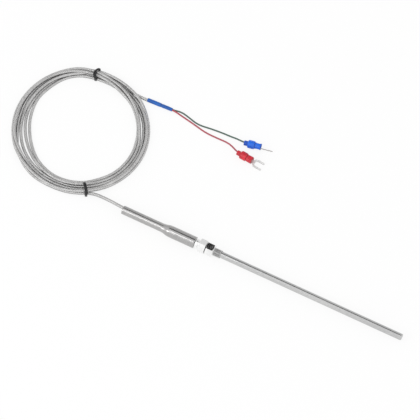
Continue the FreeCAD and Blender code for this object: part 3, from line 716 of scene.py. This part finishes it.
def insulator_piece(name, terminal, finish):
    """Terminal sleeve: pinched collar, bell, hump and a front pressed flat between two round dies.
    Half width = profile spread by the pressing; half height = profile cut by the dies with a soft edge."""
    profile = np.array(CAP_PROFILE)
    run = np.concatenate([[0], np.cumsum(np.linalg.norm(np.diff(profile, axis=0), axis=1))])
    fine = np.unique(np.concatenate([np.linspace(0, run[-1], 120), run]))
    x, r = np.interp(fine, run, profile[:, 0]), np.interp(fine, run, profile[:, 1])
    v = np.arange(72) * TURN / 72
    off = np.minimum(np.abs(x - PINCH_X), DIE_REACH)
    press = PINCH_HALF_HEIGHT + DIE_R - np.sqrt(DIE_R ** 2 - off ** 2)
    press = press + RIDGE_HEIGHT * np.exp(-((x - PINCH_X) / RIDGE_WIDTH) ** 2)
    height = r[:, None] * np.sin(v)
    sign = np.sign(height)
    height = sign * soft_least(np.abs(height), np.broadcast_to(press[:, None], height.shape), 0.25)
    spread = 1 + 0.08 * np.clip((r - press) / 1.3, 0, 1)
    width = r[:, None] * np.cos(v) * spread[:, None]
    local = np.stack([np.broadcast_to(x[:, None], width.shape), width, height], 2)
    return grid_piece(name, terminal_points(local, terminal), finish, sharp=42, along=x)


def squared(turn, power):
    """Points on a circle of radius one, pressed towards a square: sign times size to a power below one."""
    spots = np.stack([np.cos(turn), np.sin(turn)], -1)
    return np.sign(spots) * np.abs(spots) ** power


def fork_piece(name, terminal, finish):
    """U-shaped fork on its neck. Rows go from one tine's tip round the root to the other's; each is a
    slab section with eased edges that runs from the slot's edge to the outline across from it."""
    tip = np.linspace(math.pi / 2, 0, 5)
    tip_x = FORK_TIP_X - FORK_TIP_ROUND + FORK_TIP_ROUND * np.sin(tip)
    tip_in = FORK_TIP_ROUND * (1 - np.cos(tip))
    side = np.linspace(FORK_TIP_X - 2 * FORK_TIP_ROUND, SLOT_MIDDLE_X, 6)
    shoulder = math.pi - math.asin((NECK_HALF_WIDTH / FORK_HALF_WIDTH) ** (1 / FORK_ROOT_SQUARENESS))
    arc = np.linspace(math.pi / 2, shoulder, 12)[1:]
    shoulder_x = SLOT_MIDDLE_X + FORK_HALF_WIDTH * squared(shoulder, FORK_ROOT_SQUARENESS)[0]
    neck_x = np.linspace(shoulder_x, BARREL[1] - 1.0, 5)[1:]
    rear_y = np.linspace(NECK_HALF_WIDTH, 0, 4)[1:]
    inner_turn = np.concatenate([arc, np.linspace(shoulder, math.pi, 8)[1:]])
    outer = np.concatenate([
        np.stack([tip_x, FORK_HALF_WIDTH - tip_in], 1), np.stack([side, np.full(6, FORK_HALF_WIDTH)], 1),
        np.array([SLOT_MIDDLE_X, 0.0]) + FORK_HALF_WIDTH * squared(arc, FORK_ROOT_SQUARENESS),
        np.stack([neck_x, np.full(4, NECK_HALF_WIDTH)], 1), np.stack([np.full(3, neck_x[-1]), rear_y], 1)])
    inner = np.concatenate([
        np.stack([tip_x, SLOT_R + tip_in], 1), np.stack([side, np.full(6, SLOT_R)], 1),
        np.array([SLOT_MIDDLE_X, 0.0]) + SLOT_R * squared(inner_turn, SLOT_ROOT_SQUARENESS)])
    outer, inner = (np.vstack([half, (half * (1, -1))[-2::-1]]) for half in (outer, inner))
    half, ease = FORK_THICKNESS / 2, 0.1
    edge = unit(outer - inner) * ease
    spots = ((inner, ease - half), (inner, half - ease), (inner + edge, half), (outer - edge, half),
             (outer, half - ease), (outer, ease - half), (outer - edge, -half), (inner + edge, -half))
    local = np.stack([np.column_stack([flat, np.full(len(flat), z - TONGUE_DROP)]) for flat, z in spots], 1)
    return grid_piece(name, terminal_points(local, terminal), finish, sharp=35)


def barrel_piece(name, terminal, finish):
    """Crimp barrel: a thick ring section turned about the terminal's own axis."""
    profile = [(BARREL[0], 0.6), (BARREL[0], 1.6), (BARREL[1], 1.6), (BARREL[1], 0.6)]
    grid = turned_grid(divided(eased(profile, 0.15), 1.0), 40)
    return grid_piece(name, terminal_points(grid, terminal), finish, ring=True, sharp=35)


def tie_band_piece(name, angle, inner, outer, lean, skew, finish):
    """Flat plastic band round the bundle: a rounded box in the plane across the bundle, carrying an oval
    section, bulging sideways on top and set askew towards its inner end."""
    t = np.arange(96) * TURN / 96
    half = ((outer - inner) / 2 - TIE_INSET, (TIE_HIGH_Z - TIE_LOW_Z) / 2)
    middle = ((inner + outer) / 2, (TIE_HIGH_Z + TIE_LOW_Z) / 2)
    across, rise = (squared(t, TIE_SQUARENESS) * half + middle).T
    sway = lean * np.clip(np.sin(t), 0, 1) * np.sin((across - inner) / (outer - inner) * math.pi)
    sway = sway + skew * (outer - across) / (outer - inner)
    turn = math.radians(angle)
    radial = np.array([math.cos(turn), math.sin(turn), 0])
    tangent = np.array([-math.sin(turn), math.cos(turn), 0])
    line = np.array([*COIL_CENTRE, 0]) + across[:, None] * radial + sway[:, None] * tangent
    line[:, 2] = rise
    ahead = unit(np.roll(line, -1, 0) - np.roll(line, 1, 0))
    out = unit(np.cross(ahead, tangent))
    v = np.arange(16) * TURN / 16
    flat = squared(v, TIE_SECTION_SQUARENESS)[:, 0] * TIE_HALF_WIDTH
    section = flat[None, :, None] * tangent + (np.sin(v) * TIE_HALF_THICKNESS)[None, :, None] * out[:, None]
    return grid_piece(name, line[:, None] + section, finish, ring=True, sharp=50)


def tie_twist_piece(name, angle, ends, sides, heights, finish):
    """The band's two ends twisted round each other and laid along it: two lobes turning as they go,
    thinner to the tip. Radius = TAIL_LOBE_R (1 + |cos(v - TAIL_TURNS turns of the length)|)."""
    s = np.linspace(0, 1, 61)
    turn = math.radians(angle)
    radial = np.array([math.cos(turn), math.sin(turn), 0])
    tangent = np.array([-math.sin(turn), math.cos(turn), 0])
    sway = np.interp(s, (0, 0.5, 1), sides)
    reach = np.interp(s, (0, 1), ends)
    line = np.array([*COIL_CENTRE, 0]) + reach[:, None] * radial + sway[:, None] * tangent
    line[:, 2] = np.interp(s, (0, 0.8, 1), heights)
    v = np.arange(24) * TURN / 24
    lobes = np.abs(np.cos(v[None] - s[:, None] * TURN * TAIL_TURNS))
    taper = (1 - 0.2 * s) * np.minimum(1, np.sqrt(np.clip((1 - s) / 0.06, 0.02, 1)))
    radius = (TAIL_LOBE_R + TAIL_LOBE_R * lobes) * taper[:, None]
    return grid_piece(name, tube_grid(line, radius, 24), finish, sharp=60)


def sheath_piece(finish):
    """Tube with a closed, rounded tip. Rows turned about X run back along the bore, round the open rear
    end and forward to the nose; a disc closes the bore's end and another the nose."""
    tip, bore_r, rear, nose_r = 182.2, 2.5, -30.0, 1.0
    arc = np.linspace(0, math.pi / 2, 9)
    nose = [(tip - nose_r + nose_r * math.sin(a), SHEATH_R - nose_r + nose_r * math.cos(a)) for a in arc]
    profile = np.array([(tip - 1.2, bore_r), (rear, bore_r), (rear, SHEATH_R)] + nose)
    outline = divided(profile, 6.0, closed=False)
    along = outline[:, 0] - rear
    return grid_piece("ground_sheath", turned_grid(outline, 112), finish, sharp=35, along=along)


def fitting_body_piece(finish):
    """Body: process thread in front, hexagon, coupling thread behind, cone seat and bore."""
    v = hex_columns()
    crest = COUPLING_THREAD[0]
    hex_back_x, hex_front_x = BODY_HEX_X
    cut_x = BODY_REAR_X + 0.3
    rows = round_rows([(BODY_REAR_X, SEAT_R), (BODY_REAR_X, crest - 0.24), (cut_x, crest)], v, 0.05)
    rows += thread_rows(cut_x, hex_back_x, v, *COUPLING_THREAD)
    rows += hexagon_rows(hex_back_x, hex_front_x, v, HEX_AF, BODY_HEX_TURN)
    rows += thread_rows(hex_front_x, THREAD_END_X, v, *PROCESS_THREAD)
    rows += round_rows([(THREAD_END_X, 3.4), (THREAD_END_X, 3.2), (THREAD_END_X - 0.15, BORE_R),
                        (SEAT_FRONT_X, BORE_R), (BODY_REAR_X, SEAT_R)], v, 0.04)[1:-1]
    return lobed_piece("fitting_body_machined", rows, v, finish, 28)


def nut_piece(finish):
    """Nut: turned collar behind, hexagon, and the bore that holds the coupling thread and the ferrules."""
    v = hex_columns()
    hex_back_x, hex_front_x = NUT_HEX_X
    rows = round_rows([(NUT_REAR_X, NUT_HOLE_R), (NUT_REAR_X, 4.25), (NUT_REAR_X + 0.35, COLLAR_R),
                       (COLLAR_FRONT_X, COLLAR_R), (COLLAR_FRONT_X + 0.35, COLLAR_NECK_R),
                       (hex_back_x, COLLAR_NECK_R)], v, 0.12)
    rows += hexagon_rows(hex_back_x, hex_front_x, v, HEX_AF, NUT_HEX_TURN)
    rows += round_rows([(hex_front_x, NUT_THREAD_R + 0.1), (hex_front_x - 0.05, NUT_THREAD_R),
                        (NUT_STEP_X, NUT_THREAD_R), (NUT_STEP_X, NUT_BORE_R), (NUT_SEAT_X, NUT_BORE_R),
                        (NUT_SEAT_X, NUT_HOLE_R), (NUT_REAR_X, NUT_HOLE_R)], v, 0.05)[:-1]
    return lobed_piece("nut_machined", rows, v, finish, 28)


def sleeve_piece(finish):
    """Swaged sleeve: thick, tapered, thin; its wall turned about X with soft bends and slight waviness."""
    front, taper, thin, mouth = -18.1, -41.9, -50.9, -88.9
    thick_r, thin_r = 5.25, 3.9

    def swaged(outline):
        x, r = outline[:, 0], outline[:, 1].copy()
        share = np.clip((x - thin) / (taper - thin), -0.6, 1.6)
        soft = 1 / (1 + np.exp(-(share - 0.5) * 7.5))
        outside = thin_r + (thick_r - thin_r) * soft
        outer = r > np.interp(x, (thin, taper), (3.5, 4.8))
        middle = (x < front - 1) & (x > mouth + 1)
        r[outer & middle] = outside[outer & middle]
        ripple = 0.018 * np.sin(x * 0.9) * np.sin(x * 0.23 + 1)
        r[outer] += ripple[outer] * ((x < front - 2) & (x > mouth + 2))[outer]
        return np.stack([x, r], 1)

    profile = [(front, 4.5), (front, 5.05), (front - 0.2, thick_r), (taper, thick_r), (thin, thin_r),
               (mouth + 0.2, thin_r),
               (mouth, 3.7), (mouth, 3.2), (thin, 3.2), (taper, 4.5)]
    return turned_piece("swaged_sleeve", profile, finish, 0.12, 112, 35, 0.8, swaged)


def place_camera():
    """Camera at the photograph's viewing angle, aimed at the middle of its picture."""
    data = bpy.data.cameras.new("photo_camera")
    data.lens = CAMERA_LENS
    data.sensor_width = 36.0
    data.clip_end = 20.0
    camera = bpy.data.objects.new("photo_camera", data)
    bpy.context.scene.collection.objects.link(camera)
    look = Vector(CAMERA_LOOK).normalized()
    camera.location = (Vector(CAMERA_AIM) - look * CAMERA_DISTANCE) * MM
    camera.rotation_euler = look.to_track_quat("-Z", "Y").to_euler()
    bpy.context.scene.camera = camera


def lamp(name, place, power, width, height, aim=CAMERA_AIM):
    """Soft rectangular lamp that faces a point given in millimetres."""
    data = bpy.data.lights.new(name, "AREA")
    data.shape = "RECTANGLE"
    data.energy = power
    data.size = width
    data.size_y = height
    made = bpy.data.objects.new(name, data)
    made.location = place
    aim = Vector(aim) * MM - Vector(place)
    made.rotation_euler = aim.to_track_quat("-Z", "Y").to_euler()
    bpy.context.scene.collection.objects.link(made)


def seen_share(tree, others=True):
    """1 for camera rays, and with others for glossy and transmission rays too."""
    path = tree.nodes.new("ShaderNodeLightPath")
    if not others:
        return path.outputs["Is Camera Ray"]
    first = tree.nodes.new("ShaderNodeMath")
    first.operation = "MAXIMUM"
    tree.links.new(path.outputs["Is Camera Ray"], first.inputs[0])
    tree.links.new(path.outputs["Is Glossy Ray"], first.inputs[1])
    second = tree.nodes.new("ShaderNodeMath")
    second.operation = "MAXIMUM"
    tree.links.new(first.outputs[0], second.inputs[0])
    tree.links.new(path.outputs["Is Transmission Ray"], second.inputs[1])
    return second.outputs[0]


def studio():
    """White floor that keeps a faint shadow, a pale surround with one dark flag overhead, and two lamps."""
    material = bpy.data.materials.new("studio_floor")
    material.use_nodes = True
    tree = material.node_tree
    shader = tree.nodes["Principled BSDF"]
    shader.inputs["Base Color"].default_value = (0.97, 0.97, 0.97, 1)
    shader.inputs["Roughness"].default_value = 0.9
    glow = tree.nodes.new("ShaderNodeEmission")
    share = tree.nodes.new("ShaderNodeMath")
    share.operation = "MULTIPLY"
    share.inputs[1].default_value = 0.85
    tree.links.new(seen_share(tree), share.inputs[0])
    mix = tree.nodes.new("ShaderNodeMixShader")
    tree.links.new(share.outputs[0], mix.inputs[0])
    tree.links.new(shader.outputs[0], mix.inputs[1])
    tree.links.new(glow.outputs[0], mix.inputs[2])
    tree.links.new(mix.outputs[0], tree.nodes["Material Output"].inputs["Surface"])
    mesh = bpy.data.meshes.new("studio_floor")
    half, z = 2.6, FLOOR_Z * MM
    corners = [(-half, -half, z), (half, -half, z), (half, half, z), (-half, half, z)]
    mesh.from_pydata(corners, [], [(0, 1, 2, 3)])
    mesh.materials.append(material)
    floor = bpy.data.objects.new("studio_floor", mesh)
    bpy.context.scene.collection.objects.link(floor)

    world = bpy.data.worlds.new("surround")
    world.use_nodes = True
    bpy.context.scene.world = world
    tree = world.node_tree
    ground = tree.nodes["Background"]
    spot = tree.nodes.new("ShaderNodeTexCoord")
    shade = None
    patches = (((-0.1, 0.93, 0.34), 62, 24, 0.75), ((-0.19, 0.482, 0.855), 14, 8, 0.02))
    for towards, wide, narrow, tone in patches:
        facing = tree.nodes.new("ShaderNodeVectorMath")
        facing.operation = "DOT_PRODUCT"
        facing.inputs[1].default_value = tuple(Vector(towards).normalized())
        tree.links.new(spot.outputs["Generated"], facing.inputs[0])
        patch = tree.nodes.new("ShaderNodeMapRange")
        patch.interpolation_type = "SMOOTHSTEP"
        patch.inputs[1].default_value = math.cos(math.radians(wide))
        patch.inputs[2].default_value = math.cos(math.radians(narrow))
        tree.links.new(facing.outputs["Value"], patch.inputs[0])
        colour = tree.nodes.new("ShaderNodeMix")
        colour.data_type = "RGBA"
        colour.inputs[6].default_value = (1, 1, 1, 1)
        colour.inputs[7].default_value = (tone, tone, tone, 1)
        tree.links.new(patch.outputs[0], colour.inputs[0])
        if shade is not None:
            tree.links.new(shade, colour.inputs[6])
        shade = colour.outputs[2]
    plain = tree.nodes.new("ShaderNodeMix")
    plain.data_type = "RGBA"
    plain.inputs[7].default_value = (1, 1, 1, 1)
    tree.links.new(seen_share(tree, others=False), plain.inputs[0])
    tree.links.new(shade, plain.inputs[6])
    tree.links.new(plain.outputs[2], ground.inputs[0])
    ground.inputs[1].default_value = 1.0
    lamp("strip_lamp", (-0.185, -0.25, 0.6), 0.14, 0.09, 0.2, (-50, 0, 0))
    lamp("key_lamp", (-0.7, -0.9, 1.0), 2.0, 0.5, 0.5)


# Making

place_camera()
braid = braid_finish()
drawn = drawn_tube_finish()
satin = satin_finish()
plated = plated_finish("machined_steel")
threaded = plated_finish("threaded_steel", True)
tinned = tinned_finish("tin_plate")
stamped = tinned_finish("stamped_tin", True)
red_jacket = jacket_finish("red_jacket", (0.5, 0.085, 0.12), (0.3, 0.035, 0.055))
green_jacket = jacket_finish("green_jacket", (0.09, 0.155, 0.125), (0.04, 0.075, 0.06))
# The last tuple of each moulded finish gives the places along the piece that get painted crease shade
shrink_blue = moulded_finish("shrunk_blue", (0.004, 0.125, 0.51), (0.003, 0.085, 0.38), 0.38, 0.2, (13.2,))
blue_plastic = moulded_finish("moulded_blue", (0.004, 0.15, 0.8), (0.003, 0.09, 0.58), 0.34, 0.2,
                              (0.6, 1.5, 2.4, 3.0, 9.9, 15.4))
red_plastic = moulded_finish("moulded_red", (0.74, 0.02, 0.045), (0.46, 0.008, 0.02), 0.34, 0.2,
                             (3.0, 9.9, 15.4))
tie_black = moulded_finish("tie_black", (0.018, 0.018, 0.02), (0.008, 0.008, 0.009), 0.36)
brass = metal_wire_finish("crimp_metal", (0.72, 0.53, 0.27), (0.5, 0.35, 0.16), 0.34)
leg_metal = metal_wire_finish("leg_metal", (0.62, 0.6, 0.57), (0.42, 0.4, 0.37), 0.36)
bare_copper = metal_wire_finish("bare_strands", (0.72, 0.66, 0.6), (0.5, 0.44, 0.38), 0.34)
powder = packed_finish("packed_oxide", (0.86, 0.85, 0.82), (0.7, 0.69, 0.66), 900.0)
cement = packed_finish("set_cement", (0.62, 0.58, 0.5), (0.42, 0.39, 0.33), 500.0)

cable, cable_line, cable_length = cord_piece("braided_cable", cable_route(), CABLE_D, braid, 1.1, 16)
green, green_line, green_length = cord_piece("green_wire", GREEN_LEAD, LEAD_OVER_THREAD_D, green_jacket,
                                             0.5, 14)
red, red_line, red_length = cord_piece("red_wire", RED_LEAD, LEAD_OVER_THREAD_D, red_jacket, 0.5, 14)
shrink = heat_shrink_piece(shrink_blue)
blue_cap = insulator_piece("blue_cap", BLUE_TERMINAL, blue_plastic)
red_cap = insulator_piece("red_cap", RED_TERMINAL, red_plastic)
blue_tongue = fork_piece("blue_tongue", BLUE_TERMINAL, stamped)
red_tongue = fork_piece("red_tongue", RED_TERMINAL, stamped)
blue_barrel = barrel_piece("blue_barrel", BLUE_TERMINAL, tinned)
red_barrel = barrel_piece("red_barrel", RED_TERMINAL, tinned)

for piece, nodes in ((cable, ("cable_lead", "cable_coil", "cable_tail")), (green, ("green_lead",)),
                     (red, ("red_lead",)), (shrink, ("heat_shrink",)), (blue_cap, ("blue_insulator",)),
                     (red_cap, ("red_insulator",)), (blue_tongue, ("blue_fork",)),
                     (red_tongue, ("red_fork",))):
    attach(piece, "probe")
    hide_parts(*nodes)
for piece in (blue_barrel, red_barrel):
    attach(piece, "probe")

for name, angle in TIE_ANGLES.items():
    band = tie_band_piece("tie_band_" + name, angle, *TIE_BANDS[name], tie_black)
    twist = tie_twist_piece("tie_twist_" + name, angle, *TIE_TAILS[name], tie_black)
    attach(band, "probe")
    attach(twist, "probe")
    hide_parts("tie_" + name)

sheath = sheath_piece(drawn)
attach(sheath, "probe")
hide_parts("probe_sheath")
sleeve = sleeve_piece(satin)
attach(sleeve, "probe")
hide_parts("transition_sleeve")
body = fitting_body_piece(threaded)
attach(body, "fitting_body")
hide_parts("fitting_body")
nut = nut_piece(plated)
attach(nut, "compression_nut")
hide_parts("compression_nut")

for node, finish in {
        "mineral_core": powder, "positive_leg": leg_metal, "negative_leg": leg_metal,
        "hot_junction": leg_metal,
        "sheath_bush": plated, "potting": cement, "positive_splice": brass, "negative_splice": brass,
        "positive_core": red_jacket, "negative_core": green_jacket, "green_conductor": bare_copper,
        "red_conductor": bare_copper, "blue_fork": tinned, "red_fork": tinned, "back_ferrule": plated,
        "front_ferrule": plated, "probe_sheath": drawn, "transition_sleeve": satin, "fitting_body": plated,
        "compression_nut": plated, "cable_lead": braid, "cable_coil": braid, "cable_tail": braid,
        "heat_shrink": shrink_blue, "green_lead": green_jacket, "red_lead": red_jacket,
        "blue_insulator": blue_plastic, "red_insulator": red_plastic, "tie_top": tie_black,
        "tie_bottom": tie_black}.items():
    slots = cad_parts[node].data.materials
    slots.clear()
    slots.append(finish.material)

studio()
scene = bpy.context.scene
scene.view_settings.view_transform = "Standard"
